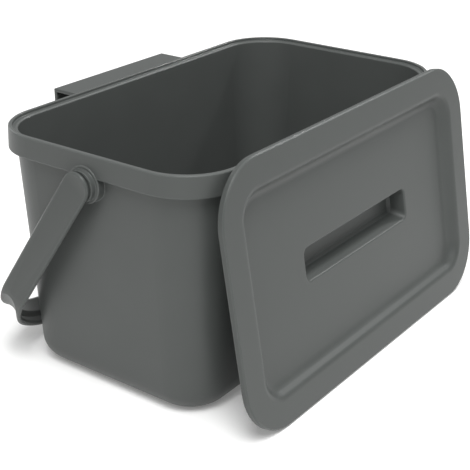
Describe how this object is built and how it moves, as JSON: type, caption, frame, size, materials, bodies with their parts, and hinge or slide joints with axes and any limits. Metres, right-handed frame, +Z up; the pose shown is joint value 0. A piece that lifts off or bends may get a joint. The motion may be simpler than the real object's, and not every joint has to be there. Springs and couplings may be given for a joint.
{
  "type": "waste sorting bin",
  "caption": "Small rectangular waste bin with a banded rim, a swinging bail handle, a hook for a cabinet door, and its loose lid leaning on the front.",
  "frame": {"origin": "middle of the bucket's flat base, on the floor", "axes": "+X along the bucket's long side, +Y from the leaning lid at the front to the door hanger at the back, +Z up"},
  "size_m": [0.2851, 0.2135, 0.1573],
  "materials": {
    "bucket_plastic": "fine moulded satin grain",
    "lid_plastic": "fine moulded satin grain",
    "handle_plastic": "fine moulded satin grain",
    "hanger_plastic": "fine moulded satin grain"
  },
  "bodies": {
    "bin": {"bucket": "bucket_plastic", "door_hanger": "hanger_plastic"},
    "bail": {"bail_handle": "handle_plastic"},
    "lid": {"lid": "lid_plastic"}
  },
  "joints": [
    {"name": "bail_swing", "type": "hinge", "parent": "bin", "child": "bail", "pos_m": [0, 0, 0.1344], "axis": [1, 0, 0], "range_deg": [0, 215]},
    {"name": "lid_lift", "type": "slide", "parent": "bin", "child": "lid", "axis": [0, -0.9858, 0.1681], "range_m": [0, 0.17]}
  ]
}
